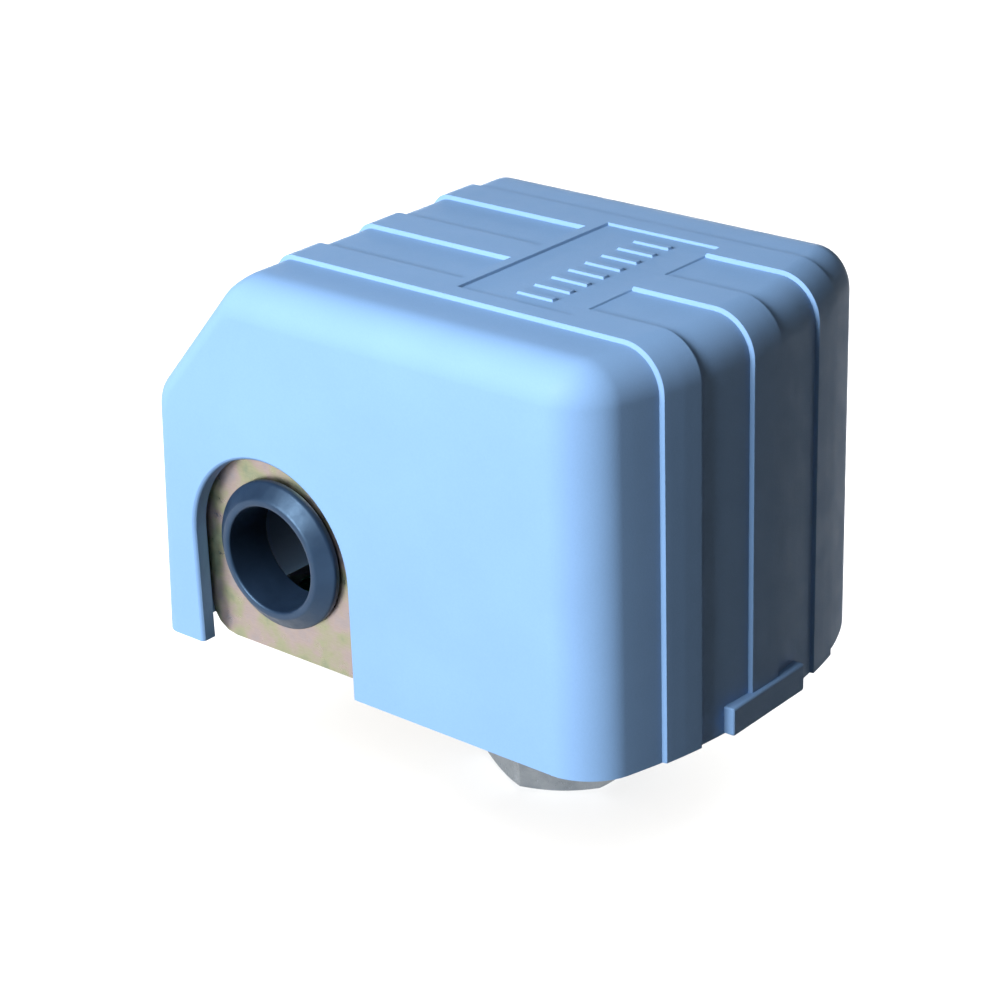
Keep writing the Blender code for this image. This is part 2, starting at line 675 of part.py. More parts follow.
def make_adjuster(name, x, stud_radius, stud_top, seat_z, seat_radius, nut_flats, spring):
    """A stud on the bracket, its spring, the seat on the spring and the nut that sets its load."""
    foot = PLATE_TOP + GAP
    stud = hexagon(f"{name}_stud", (x, 0, foot), stud_radius * 3.2, 2.4 * MM, BRIGHT_ZINC)
    join(stud, cylinder(f"{name}_shank", (x, 0, foot + 1 * MM), stud_radius, stud_top - foot - 1 * MM))
    low, radius, wire, turns = spring
    make_spring(f"{name}_spring", x, 0, low, seat_z - GAP, radius, wire, turns, SPRING_STEEL)
    bore = stud_radius + CLEAR
    seat = [
        (bore, seat_z + 2 * MM),
        (seat_radius - 1 * MM, seat_z + 2 * MM),
        (seat_radius, seat_z + 1.2 * MM),
        (seat_radius, seat_z),
        (bore, seat_z),
    ]
    turned(f"{name}_seat", seat, BRIGHT_ZINC, (x, 0, 0), sides=24, closed=True)
    make_nut(f"{name}_nut", x, seat_z + 2 * MM + GAP, nut_flats, 5.4 * MM, bore, BRASS)


# Contacts

def make_block():
    block = box("contact_block", (BLOCK_X[0], -BLOCK_HALF, BLOCK_Z[0]), (BLOCK_X[1], BLOCK_HALF, BLOCK_Z[1]),
                BLACK_PHENOLIC)
    wall = 0.7 * MM
    for number, y in enumerate((-22.2 * MM, -11.5 * MM, 0.0, 11.5 * MM, 22.2 * MM)):
        join(block, box(f"barrier_{number}", (-37.6 * MM, y - wall, BLOCK_Z[1] - 1 * MM),
                        (-24.8 * MM, y + wall, BLOCK_Z[1] + 4.4 * MM)))
    for side in (-1, 1):
        prong_y = sorted((side * 4.6 * MM, side * 7.0 * MM))
        join(block, box(f"prong_{side}", (BLOCK_X[1] - 1 * MM, prong_y[0], BLOCK_Z[0] + 0.1 * MM),
                        (BLOCK_X[1] + 3.6 * MM, prong_y[1], BLOCK_Z[1] - 0.1 * MM)))
        hole(block, NUT_X, side * 18 * MM, BLOCK_Z[0] - 1 * MM, BLOCK_Z[1] + 1 * MM, SCREW_RADIUS + CLEAR)
    for y in TERMINALS_Y:
        hole(block, TERMINAL_X, y, BLOCK_Z[1] - 4.6 * MM, BLOCK_Z[1] + 1 * MM, SCREW_RADIUS + CLEAR)
    for number, side in enumerate((-1, 1), 1):
        make_screw(f"block_screw_{number}", NUT_X, side * 18 * MM, BLOCK_Z[1] + GAP, 1, BRIGHT_ZINC,
                   length=9.4 * MM, slot=0.7 * number)


def make_terminal(number, y):
    base = BLOCK_Z[1] + GAP
    top = base + PLATE_THICK
    plate = box(f"terminal_plate_{number}", (TERMINAL_X - 4.2 * MM, y - PLATE_HALF_WIDTH, base),
                (CONTACT_X + 2 * MM, y + PLATE_HALF_WIDTH, top), BRASS)
    join(plate, cylinder(f"fixed_contact_{number}", (CONTACT_X, y, top - 0.5 * MM), 1.7 * MM,
                         BRIDGE_Z - GAP - top + 0.5 * MM, sides=COARSE))
    hole(plate, TERMINAL_X, y, base - 1 * MM, top + 0.2 * MM + 0.5 * MM, SCREW_RADIUS + CLEAR)
    clamp_low = top + GAP
    clamp_high = clamp_low + 1.2 * MM
    clamp = box(f"wire_clamp_{number}", (TERMINAL_X - 3.5 * MM, y - 3.1 * MM, clamp_low),
                (TERMINAL_X + 3.5 * MM, y + 3.1 * MM, clamp_high), BRIGHT_ZINC)
    for side in (-1, 1):
        lip_x = sorted((TERMINAL_X + side * 3.5 * MM, TERMINAL_X + side * 2.7 * MM))
        join(clamp, box(f"clamp_lip_{number}_{side}", (lip_x[0], y - 3.0 * MM, clamp_low + 0.2 * MM),
                        (lip_x[1], y + 3.0 * MM, clamp_high + 0.6 * MM)))
    hole(clamp, TERMINAL_X, y, clamp_low - 1 * MM, clamp_high + 1 * MM, SCREW_RADIUS + CLEAR)
    make_screw(f"terminal_screw_{number}", TERMINAL_X, y, clamp_high + GAP, 1, BRASS,
               head=(2.4 * MM, 2.0 * MM), length=clamp_high + GAP - BLOCK_Z[1] + 4.0 * MM, slot=0.5 * number)


def make_carrier():
    """The moulded carrier: a stem on the lever's end and a crossbar that lifts both contact bridges."""
    stem_x = (-17.4 * MM, -14.4 * MM)
    half = 4.3 * MM
    carrier = box("contact_carrier", (stem_x[0], -half, LEVER_TOP + GAP), (stem_x[1], half, CARRIER_TOP - 1 * MM),
                  BLACK_PHENOLIC)
    join(carrier, box("crossbar", (-23.6 * MM, -17.5 * MM, CARRIER_TOP - 3 * MM),
                      (stem_x[1] + 0.6 * MM, 17.5 * MM, CARRIER_TOP)))
    bar_top = BRIDGE_Z + 1.2 * MM
    for number, side in enumerate((-1, 1), 1):
        y = side * 11.5 * MM
        post = [
            (0.0, CARRIER_TOP - 2 * MM),
            (1.0 * MM, CARRIER_TOP - 2 * MM),
            (1.0 * MM, BRIDGE_Z - GAP),
            (1.7 * MM, BRIDGE_Z - GAP),
            (1.7 * MM, BRIDGE_Z - GAP - 0.9 * MM),
            (0.0, BRIDGE_Z - GAP - 0.9 * MM),
        ]
        join(carrier, turned(f"carrier_post_{number}", post, place=(CONTACT_X, y, 0), sides=COARSE))
        bridge = box(f"contact_bridge_{number}", (CONTACT_X - 1.9 * MM, y - 7.4 * MM, BRIDGE_Z),
                     (CONTACT_X + 1.9 * MM, y + 7.4 * MM, bar_top), BRASS)
        hole(bridge, CONTACT_X, y, BRIDGE_Z - 1 * MM, bar_top + 1 * MM, 1.35 * MM)
        make_spring(f"contact_spring_{number}", CONTACT_X, y, bar_top + GAP, CARRIER_TOP - 3 * MM - GAP,
                    1.8 * MM, 0.3 * MM, 5, SPRING_STEEL)


def settle():
    """Gives each part its final mesh and shades its round faces smooth."""
    bpy.context.view_layer.update()
    graph = bpy.context.evaluated_depsgraph_get()
    made = {obj: bpy.data.meshes.new_from_object(obj.evaluated_get(graph)) for obj in parts.objects}
    for obj, data in made.items():
        obj.modifiers.clear()
        obj.data = data
        data.shade_smooth()
        data.set_sharp_from_angle(angle=math.radians(32))


def set_origin(obj, point):
    """Moves an object's origin onto its joint's axis, leaving its shape where it is."""
    obj.data.transform(Matrix.Translation(-Vector(point)) @ obj.matrix_world)
    obj.matrix_world = Matrix.Translation(point)


make_cover()
make_cover_fixing()
make_bracket()
make_bushing("conduit_bushing_front", -1)
make_bushing("conduit_bushing_rear", 1)
for index, (earth_x, earth_y) in enumerate(EARTH_SCREWS, 1):
    make_screw(f"earth_screw_{index}", earth_x, earth_y, PLATE_TOP + GAP, 1, GREEN_SCREW,
               length=5 * MM, slot=0.9 * index)
make_port()
make_diaphragm()
make_plunger()
make_lever()
make_pin()
make_adjuster("range", RANGE_X, 3.0 * MM, 74 * MM, RANGE_SEAT_Z, 7.4 * MM, 11 * MM,
              (LEVER_TOP + 0.5 * MM, 5.6 * MM, 1.1 * MM, 7))
make_adjuster("differential", DIFFERENTIAL_X, 2.0 * MM, 63 * MM, DIFFERENTIAL_SEAT_Z, 4.4 * MM, 7.6 * MM,
              (LEVER_TOP + 1.2 * MM, 3.3 * MM, 0.6 * MM, 7))
make_block()
for index, terminal_y in enumerate(TERMINALS_Y, 1):
    make_terminal(index, terminal_y)
make_carrier()
settle()

set_origin(bpy.data.objects["lever"], (PIVOT_X, 0, PIVOT_Z))
set_origin(bpy.data.objects["cover_nut"], (NUT_X, 0, POCKET_Z))
set_origin(bpy.data.objects["range_nut"], (RANGE_X, 0, RANGE_SEAT_Z))
set_origin(bpy.data.objects["differential_nut"], (DIFFERENTIAL_X, 0, DIFFERENTIAL_SEAT_Z))
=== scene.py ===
"""Looks of the pressure switch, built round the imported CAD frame.

Everything is in metres in the part's frame: origin at the pressure port's lower face, +X along the long
side, -Y the front, +Z up. The cover, bushings, port, fasteners and springs are rebuilt as fine meshes in
the space of their CAD nodes. The bracket, lever and block keep their CAD shape and get soft edges.
"""

import json
import math

import bmesh
import bpy
from mathutils import Matrix, Vector

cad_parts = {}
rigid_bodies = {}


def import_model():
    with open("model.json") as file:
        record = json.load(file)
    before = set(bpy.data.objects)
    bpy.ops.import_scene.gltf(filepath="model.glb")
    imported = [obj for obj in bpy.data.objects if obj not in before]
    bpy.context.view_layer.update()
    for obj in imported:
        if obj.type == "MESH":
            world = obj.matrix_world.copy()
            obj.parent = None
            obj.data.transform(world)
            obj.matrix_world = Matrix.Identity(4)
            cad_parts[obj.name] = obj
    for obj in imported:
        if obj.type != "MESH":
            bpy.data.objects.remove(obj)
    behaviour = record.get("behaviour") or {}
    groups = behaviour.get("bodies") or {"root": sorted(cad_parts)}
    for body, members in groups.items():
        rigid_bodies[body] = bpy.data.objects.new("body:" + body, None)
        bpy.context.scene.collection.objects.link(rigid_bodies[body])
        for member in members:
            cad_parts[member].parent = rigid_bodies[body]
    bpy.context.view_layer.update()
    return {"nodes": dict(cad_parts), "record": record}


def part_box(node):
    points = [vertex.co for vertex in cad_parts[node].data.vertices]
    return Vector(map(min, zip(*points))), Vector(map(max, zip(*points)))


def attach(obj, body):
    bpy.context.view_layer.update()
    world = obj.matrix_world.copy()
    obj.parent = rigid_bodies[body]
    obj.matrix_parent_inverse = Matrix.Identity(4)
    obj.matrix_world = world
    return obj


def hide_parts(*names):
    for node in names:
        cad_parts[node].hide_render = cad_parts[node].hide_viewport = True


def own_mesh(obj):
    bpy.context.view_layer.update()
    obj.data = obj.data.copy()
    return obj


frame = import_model()
MM = 0.001
scene = bpy.context.scene
tools = bpy.data.collections.new("tools")

# Cover, as the CAD's own driving sizes
RIM_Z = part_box("cover")[0].z
TOP_Z = 84.6 * MM
HALF_DEPTH = 34.15 * MM
RIM_LEFT_X = -55.4 * MM
SHOULDER = (-53.1 * MM, 63.1 * MM)
CHAMFER_TOP_X = -34.5 * MM
SIDE_X = 38.4 * MM
SIDE_RADIUS = 92.0 * MM
EDGE_RADIUS = 6.3 * MM
LEFT_RADIUS = 3.0 * MM
SHOULDER_SOFT = 2.4 * MM
RIDGE_SOFT = 1.6 * MM
WALL = 2.6 * MM
BAND_HEIGHT = 0.65 * MM
BANDS_Y = ((-21.5 * MM, -14.5 * MM), (-3.5 * MM, 3.5 * MM), (14.5 * MM, 21.5 * MM))
LABEL_X = (-3.4 * MM, 17.5 * MM)
LABEL_Y = (-17.8 * MM, 17.8 * MM)
MARGIN_X = -5.5 * MM
MARGIN_Y = (-20.5 * MM, 20.5 * MM)
LABEL_DEPTH = 0.4 * MM
MARKS = 8
MARK_X = (4.9 * MM, 11.5 * MM)
MARK_WIDTH = 1.2 * MM
MARK_HEIGHT = 0.35 * MM
RISER = 0.28 * MM
GRIP_Y = (-9.2 * MM, 9.2 * MM)
GRIP_HEIGHT = 4.6 * MM
GRIP_EDGE = 0.4 * MM
REAR_RIM_RADIUS = 11.0 * MM
NUT_X = -43.0 * MM
POCKET_Z = 68.0 * MM
POCKET_RADIUS = 6.0 * MM
BOSS_RADIUS = 8.0 * MM
POCKET_FLOOR = 2.2 * MM
SLOT_RADIUS = 16.25 * MM
CONDUIT_X = -30.1 * MM
CONDUIT_Z = 40.0 * MM

# Axes of the two adjusting studs and of the contact carrier
RANGE_X = 13.0 * MM
DIFFERENTIAL_X = -9.0 * MM
CARRIER_X = -21.0 * MM
# Radius of the holes that clear a 4 mm stud
STUD_WAY = 2.35 * MM


# Shader helpers: noise is stretched along the axis in which a metal was brushed or drawn

ALONG_X = (14, 1, 1)
ALONG_Z = (1, 1, 6)


def socket(shader, name, value):
    shader.inputs[name].default_value = value


class Look:
    """A Principled material with procedural colour, roughness and bump in the row frame's coordinates."""

    def __init__(self, name, metallic=0.0, specular=0.5):
        self.material = bpy.data.materials.new(name)
        self.material.use_nodes = True
        self.tree = self.material.node_tree
        self.shader = self.tree.nodes["Principled BSDF"]
        socket(self.shader, "Metallic", metallic)
        socket(self.shader, "Specular IOR Level", specular)
        self.place = self.node("ShaderNodeTexCoord").outputs["Object"]

    def node(self, kind, **settings):
        made = self.tree.nodes.new(kind)
        for key, value in settings.items():
            setattr(made, key, value)
        return made

    def link(self, start, end):
        self.tree.links.new(start, end)

    def noise(self, size, detail, stretch=(1, 1, 1)):
        """Noise whose features are about size metres across; stretch lengthens them along an axis."""
        scale = self.node("ShaderNodeMapping")
        scale.inputs["Scale"].default_value = tuple(1 / (size * s) for s in stretch)
        self.link(self.place, scale.inputs["Vector"])
        made = self.node("ShaderNodeTexNoise")
        made.inputs["Scale"].default_value = 1.0
        made.inputs["Detail"].default_value = detail
        made.inputs["Roughness"].default_value = 0.55
        self.link(scale.outputs["Vector"], made.inputs["Vector"])
        return made.outputs["Fac"]

    def ramp(self, factor, stops):
        made = self.node("ShaderNodeValToRGB")
        ramp = made.color_ramp
        while len(ramp.elements) < len(stops):
            ramp.elements.new(0.5)
        for element, (position, colour) in zip(ramp.elements, stops):
            element.position = position
            element.color = (*colour, 1.0)
        self.link(factor, made.inputs["Fac"])
        return made.outputs["Color"]

    def multiply(self, amount, first, second):
        """The first colour multiplied by the second, by this amount."""
        made = self.node("ShaderNodeMix", data_type="RGBA", blend_type="MULTIPLY")
        made.inputs["Factor"].default_value = amount
        self.link(first, made.inputs[6])
        self.link(second, made.inputs[7])
        return made.outputs[2]

    def colour(self, output):
        self.link(output, self.shader.inputs["Base Color"])

    def roughness(self, factor, low, high):
        made = self.node("ShaderNodeMapRange")
        made.inputs["From Min"].default_value = 0.3
        made.inputs["From Max"].default_value = 0.7
        made.inputs["To Min"].default_value = low
        made.inputs["To Max"].default_value = high
        self.link(factor, made.inputs["Value"])
        self.link(made.outputs["Result"], self.shader.inputs["Roughness"])

    def bump(self, *layers):
        """Bump layers of (height output, depth in metres), chained."""
        normal = None
        for height, depth in layers:
            made = self.node("ShaderNodeBump")
            made.inputs["Strength"].default_value = 1.0
            made.inputs["Distance"].default_value = depth
            self.link(height, made.inputs["Height"])
            if normal is not None:
                self.link(normal, made.inputs["Normal"])
            normal = made.outputs["Normal"]
        self.link(normal, self.shader.inputs["Normal"])


def tinted(colour, amount):
    return tuple(min(1.0, c * amount) for c in colour)


def plastic_look(name, colour, grain, rough, variation, specular=0.5):
    """Moulded plastic with a fine grain, faint specks and a slightly varied colour."""
    look = Look(name, specular=specular)
    broad = look.noise(18 * MM, 4.0)
    shades = [(0.3, tinted(colour, 1 - variation)), (0.7, tinted(colour, 1 + variation))]
    specks = look.ramp(look.noise(0.25 * MM, 2.0), [(0.3, (0.93,) * 3), (0.7, (1.05,) * 3)])
    look.colour(look.multiply(0.35, look.ramp(broad, shades), specks))
    look.roughness(look.noise(3 * MM, 5.0), *rough)
    look.bump((look.noise(0.35 * MM, 2.0), grain), (look.noise(9 * MM, 2.0), 0.03 * MM))
    return look.material


def metal_look(name, stops, patch, rough, brushed=ALONG_X):
    """Metal whose colour drifts between stops over patches, with fine lines along one axis."""
    look = Look(name, metallic=1.0)
    base = look.ramp(look.noise(patch, 5.0), stops)
    lines = look.noise(0.12 * MM, 3.0, brushed)
    streaks = look.ramp(lines, [(0.3, (0.86,) * 3), (0.7, (1.06,) * 3)])
    look.colour(look.multiply(0.6, base, streaks))
    look.roughness(look.noise(2.2 * MM, 6.0), *rough)
    look.bump((lines, 0.004 * MM), (look.noise(1.1 * MM, 4.0), 0.002 * MM))
    return look.material


def rubber_look():
    """Dark rubber with a blue cast in its colour and in its highlights."""
    look = Look("black_rubber", specular=0.6)
    socket(look.shader, "Specular Tint", (0.42, 0.68, 1.0, 1.0))
    shades = [(0.3, (0.010, 0.022, 0.048)), (0.7, (0.016, 0.034, 0.070))]
    look.colour(look.ramp(look.noise(5 * MM, 5.0), shades))
    look.roughness(look.noise(1.5 * MM, 6.0), 0.34, 0.5)
    look.bump((look.noise(0.3 * MM, 3.0), 0.012 * MM))
    return look.material


IRIDESCENT = [
    (0.28, (0.21, 0.26, 0.18)),
    (0.42, (0.33, 0.33, 0.22)),
    (0.55, (0.38, 0.31, 0.29)),
    (0.70, (0.31, 0.29, 0.31)),
]
ZINC = [(0.3, (0.20, 0.23, 0.26)), (0.7, (0.32, 0.35, 0.38))]
STEEL = [(0.3, (0.30, 0.30, 0.32)), (0.7, (0.44, 0.44, 0.45))]
BRASS = [(0.3, (0.66, 0.45, 0.17)), (0.7, (0.82, 0.61, 0.28))]
GREEN = [(0.3, (0.03, 0.22, 0.08)), (0.7, (0.07, 0.34, 0.13))]
COVER_BLUE = (0.222, 0.388, 0.66)
PHENOLIC = (0.030, 0.026, 0.024)
NYLON = (0.74, 0.71, 0.62)
LOOKS = {
    "cover_plastic": plastic_look("cover_plastic", COVER_BLUE, 0.012 * MM, (0.42, 0.54), 0.025, 0.07),
    "yellow_zinc": metal_look("yellow_zinc", IRIDESCENT, 6 * MM, (0.24, 0.42)),
    "black_rubber": rubber_look(),
    "bright_zinc": metal_look("bright_zinc", ZINC, 4 * MM, (0.22, 0.42)),
    "spring_steel": metal_look("spring_steel", STEEL, 3 * MM, (0.2, 0.36), ALONG_Z),
    "brass": metal_look("brass", BRASS, 5 * MM, (0.2, 0.36)),
    "black_phenolic": plastic_look("black_phenolic", PHENOLIC, 0.008 * MM, (0.28, 0.45), 0.25),
    "white_nylon": plastic_look("white_nylon", NYLON, 0.006 * MM, (0.32, 0.46), 0.05),
    "green_screw": metal_look("green_screw", GREEN, 3 * MM, (0.24, 0.4)),
}


# Mesh helpers

def as_object(name, shape, tool=False):
    data = bpy.data.meshes.new(name)
    bmesh.ops.recalc_face_normals(shape, faces=shape.faces)
    shape.to_mesh(data)
    shape.free()
    obj = bpy.data.objects.new(name, data)
    (tools if tool else scene.collection).objects.link(obj)
    return obj


def loft(name, rings, tool=False):
    """A closed solid through closed rings of points, with both ends capped."""
    shape = bmesh.new()
    made = [[shape.verts.new(point) for point in ring] for ring in rings]
    for first, second in zip(made, made[1:]):
        for i in range(len(first)):
            j = (i + 1) % len(first)
            shape.faces.new((first[i], first[j], second[j], second[i]))
    shape.faces.new(made[0])
    shape.faces.new(made[-1])
    bmesh.ops.remove_doubles(shape, verts=shape.verts, dist=0.001 * MM)
    return as_object(name, shape, tool)


def turned(name, profile, place, axis=(0, 0, 1), sides=64, tool=False):
    """A closed ring or solid from a (radius, height) profile turned about axis through place."""
    shape = bmesh.new()
    points = [shape.verts.new((radius, 0, height)) for radius, height in profile]
    pairs = list(zip(points, points[1:]))
    if min(radius for radius, _ in profile) > 0:
        pairs.append((points[-1], points[0]))
    edges = [shape.edges.new(pair) for pair in pairs]
    bmesh.ops.spin(shape, geom=points + edges, cent=(0, 0, 0), axis=(0, 0, 1), angle=math.tau,
                   steps=sides, use_merge=True)
    bmesh.ops.remove_doubles(shape, verts=shape.verts, dist=0.0005 * MM)
    turn = Vector((0, 0, 1)).rotation_difference(Vector(axis)).to_matrix().to_4x4()
    bmesh.ops.transform(shape, matrix=Matrix.Translation(place) @ turn, verts=shape.verts)
    return as_object(name, shape, tool)


def prism(name, centre, radius, low, high, sides=6, turn=0.0, tool=False):
    angles = [turn + math.tau * i / sides for i in range(sides)]
    rings = [[(centre[0] + radius * math.cos(a), centre[1] + radius * math.sin(a), z) for a in angles]
             for z in (low, high)]
    return loft(name, rings, tool)


def box_tool(name, low, high):
    corners = [(low[0], low[1]), (high[0], low[1]), (high[0], high[1]), (low[0], high[1])]
    return loft(name, [[(x, y, z) for x, y in corners] for z in (low[2], high[2])], tool=True)


def apply(obj):
    """Bakes an object's modifiers into its mesh."""
    for holder in (tools, scene.collection):
        if obj.name in holder.objects:
            home = holder
    if home is tools:
        scene.collection.objects.link(obj)
    bpy.context.view_layer.update()
    data = bpy.data.meshes.new_from_object(obj.evaluated_get(bpy.context.evaluated_depsgraph_get()))
    obj.modifiers.clear()
    obj.data = data
    if home is tools:
        scene.collection.objects.unlink(obj)
    return obj


def combine(target, operation, *others):
    for other in others:
        change = target.modifiers.new("Join", "BOOLEAN")
        change.operation = operation
        change.object = other
        change.solver = "MANIFOLD"
    if tools.name not in scene.collection.children:
        scene.collection.children.link(tools)
    apply(target)
    scene.collection.children.unlink(tools)
    for other in others:
        bpy.data.objects.remove(other, do_unlink=True)
    return target


def finish_piece(obj, body, slot, *nodes, edge=0.0, angle=30):
    """Shades a piece smooth, gives it its material and puts it on its body in place of its CAD nodes."""
    if edge:
        bevel = obj.modifiers.new("Edges", "BEVEL")
        bevel.width = edge
        bevel.segments = 3
        bevel.limit_method = "ANGLE"
        bevel.angle_limit = math.radians(35)
        bevel.use_clamp_overlap = True
        apply(obj)
    obj.data.shade_smooth()
    obj.data.set_sharp_from_angle(angle=math.radians(angle))
    weighted = obj.modifiers.new("Normals", "WEIGHTED_NORMAL")
    weighted.keep_sharp = True
    obj.data.materials.clear()
    obj.data.materials.append(LOOKS[slot])
    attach(obj, body)
    if nodes:
        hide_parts(*nodes)
    return obj


def ease(value):
    value = min(max(value, 0.0), 1.0)
    return value * value * (3 - 2 * value)


def within(value, low, high, ramp=RISER):
    """1 between low and high and 0 outside, with a soft riser centred on each end."""
    return ease((value - low) / ramp + 0.5) * ease((high - value) / ramp + 0.5)


def fine_steps(edges, low, high, spacing):
    """Stations from low to high: evenly spaced, with a close group across each riser."""
    values = {round(low, 7), round(high, 7)}
    count = math.ceil((high - low) / spacing)
    near = RISER * 0.75
    for i in range(1, count):
        value = low + (high - low) * i / count
        if all(abs(value - edge) > near for edge in edges):
            values.add(round(value, 7))
    for edge in edges:
        for step in (-0.5, -0.3, -0.1, 0.1, 0.3, 0.5):
            value = edge + step * RISER
            if low < value < high:
                values.add(round(value, 7))
    return sorted(values)


# Cover

MARK_CENTRES = [LABEL_Y[0] + (LABEL_Y[1] - LABEL_Y[0]) * (i + 1) / (MARKS + 1) for i in range(MARKS)]


def relief(x, y):
    """How far the top stands out at a point: its bands and the label's margin, ground and marks."""
    height = BAND_HEIGHT * max(within(y, front, back) for front, back in BANDS_Y)
    if x is None:
        return height
    margin = within(x, MARGIN_X, LABEL_X[0] + RISER) * within(y, *MARGIN_Y)
    height = max(height, BAND_HEIGHT * margin)
    ground = within(x, *LABEL_X) * within(y, *LABEL_Y)
    height += (BAND_HEIGHT - LABEL_DEPTH - height) * ground
    marks = max(within(y, c - MARK_WIDTH / 2, c + MARK_WIDTH / 2) for c in MARK_CENTRES)
    return height + MARK_HEIGHT * marks * within(x, *MARK_X)


def side_x(y):
    return SIDE_X - SIDE_RADIUS + math.sqrt(SIDE_RADIUS**2 - y**2)


def moved_corner(corner, first, amount, second, other_amount):
    """Where two lines through corner meet after each moves out along its normal by its own amount."""
    turn = first.x * second.y - first.y * second.x
    x = (amount * second.y - other_amount * first.y) / turn
    y = (other_amount * first.x - amount * second.x) / turn
    return Vector(corner) + Vector((x, y))


def soft_corner(corner, before, after, size, steps=6):
    """Points round a corner, from size before it to size after it."""
    start = corner - before * size
    end = corner + after * size
    blends = [i / steps for i in range(steps + 1)]
    return [start * (1 - t) ** 2 + corner * (2 * t * (1 - t)) + end * t * t for t in blends]


def inset(radius, distance):
    """How far a round edge stands in at a distance from its end face."""
    if distance >= radius:
        return 0.0
    return radius - math.sqrt(max(radius**2 - (radius - distance) ** 2, 0.0))


def profile(y, grow, depth, low, tops, arc_steps, detailed):
    """The cover's outline in x and z at one station, grown outwards and drawn in near its end faces."""
    reach = inset(EDGE_RADIUS + grow, depth - abs(y))
    left_reach = inset(LEFT_RADIUS + grow, depth - abs(y))
    left = Vector((SHOULDER[0] - RIM_LEFT_X, SHOULDER[1] - RIM_Z)).normalized()
    slope = Vector((CHAMFER_TOP_X - SHOULDER[0], TOP_Z - SHOULDER[1])).normalized()
    left_out = Vector((-left.y, left.x))
    slope_out = Vector((-slope.y, slope.x))
    up = Vector((0, 1))
    raised = grow + (relief(None, y) if detailed else 0.0)
    base = raised - reach
    left_base = raised - left_reach
    shoulder = moved_corner(SHOULDER, left_out, left_base, slope_out, left_base)
    ridge = moved_corner((CHAMFER_TOP_X, TOP_Z), slope_out, left_base, up, base)
    foot = shoulder - left * ((shoulder.y - low) / left.y)
    above_shoulder = shoulder + slope * SHOULDER_SOFT
    below_ridge = ridge - slope * RIDGE_SOFT
    points = [foot.lerp(shoulder - left * SHOULDER_SOFT, i / 8) for i in range(8)]
    points += soft_corner(shoulder, left, slope, SHOULDER_SOFT)
    points += [above_shoulder.lerp(below_ridge, i / 8) for i in range(1, 8)]
    points += soft_corner(ridge, slope, Vector((1, 0)), RIDGE_SOFT)
    turn_x = side_x(y) - EDGE_RADIUS
    turn_z = TOP_Z - EDGE_RADIUS
    for x in tops:
        extra = relief(x, y) if detailed else 0.0
        points.append(Vector((x, TOP_Z + grow + extra - reach)))
    radius = EDGE_RADIUS + base
    span = tops[-1]
    for i in range(1, 4):
        x = span + (turn_x - span) * i / 4
        points.append(Vector((x, TOP_Z + base)))
    for i in range(arc_steps + 1):
        angle = math.pi / 2 * (1 - i / arc_steps)
        points.append(Vector((turn_x + radius * math.cos(angle), turn_z + radius * math.sin(angle))))
    side = turn_x + radius
    points += [Vector((side, turn_z + (low - turn_z) * i / 8)) for i in range(1, 9)]
    return [(point.x, y, point.y) for point in points]


def envelope(name, grow=0.0, low=RIM_Z, detailed=False, tool=True):
    """The cover's outer solid, or an inner copy of it, lofted from front to back."""
    depth = HALF_DEPTH + min(grow, 0.0)
    radius = EDGE_RADIUS + grow
    edges_y = [y for band in BANDS_Y for y in band] + [*LABEL_Y, *MARGIN_Y] if detailed else []
    edges_x = [MARGIN_X, LABEL_X[0], LABEL_X[1], *MARK_X] if detailed else []
    for centre in MARK_CENTRES if detailed else ():
        edges_y += [centre - MARK_WIDTH / 2, centre + MARK_WIDTH / 2]
    tops = fine_steps(edges_x, -30 * MM, 22 * MM, 4 * MM)
    round_steps = 12 if detailed else 6
    ends = [math.pi / 2 * i / round_steps for i in range(round_steps)]
    inner = depth - radius
    front = [-depth + radius * (1 - math.cos(a)) for a in ends]
    stations = front + fine_steps(edges_y, -inner, inner, 2.5 * MM) + [-y for y in reversed(front)]
    rings = [profile(y, grow, depth, low, tops, 14 if detailed else 8, detailed) for y in stations]
    return loft(name, rings, tool)


def arch(radius, z, low):
    """The slot's outline round the conduit's axis, as (x, z) points."""
    points = [(CONDUIT_X - radius, low), (CONDUIT_X + radius, low)]
    for i in range(41):
        angle = math.pi * i / 40
        points.append((CONDUIT_X + radius * math.cos(angle), z + radius * math.sin(angle)))
    return points


def slot_tool(side):
    """An arched cutter that flares over its last half millimetre, for a soft outer edge."""
    lip = 0.5 * MM
    levels = [(HALF_DEPTH + 1 * MM, lip)]
    levels += [(HALF_DEPTH - lip * math.sin(a), lip * (1 - math.sin(a) ** 0.5) if a else lip)
               for a in (0, 0.3, 0.6, 0.9, 1.2, math.pi / 2)]
    levels.append((HALF_DEPTH - 6 * MM, 0.0))
    low = RIM_Z - 3 * MM
    rings = [[(x, side * y, z) for x, z in arch(SLOT_RADIUS + grow, CONDUIT_Z, low)] for y, grow in levels]
    return loft(f"slot_tool_{side}", rings, tool=True)


def rear_rim_tool():
    """A cutter that rounds the rear wall's lower corner all the way across."""
    radius = REAR_RIM_RADIUS
    centre = (HALF_DEPTH - radius, RIM_Z + radius)
    outline = [(centre[0], RIM_Z - 3 * MM)]
    for i in range(17):
        angle = -math.pi / 2 + math.pi / 2 * i / 16
        outline.append((centre[0] + radius * math.cos(angle), centre[1] + radius * math.sin(angle)))
    outline += [(HALF_DEPTH + 4 * MM, centre[1]), (HALF_DEPTH + 4 * MM, RIM_Z - 3 * MM)]
    return loft("rear_rim_tool", [[(x, y, z) for y, z in outline] for x in (-70 * MM, 70 * MM)], tool=True)


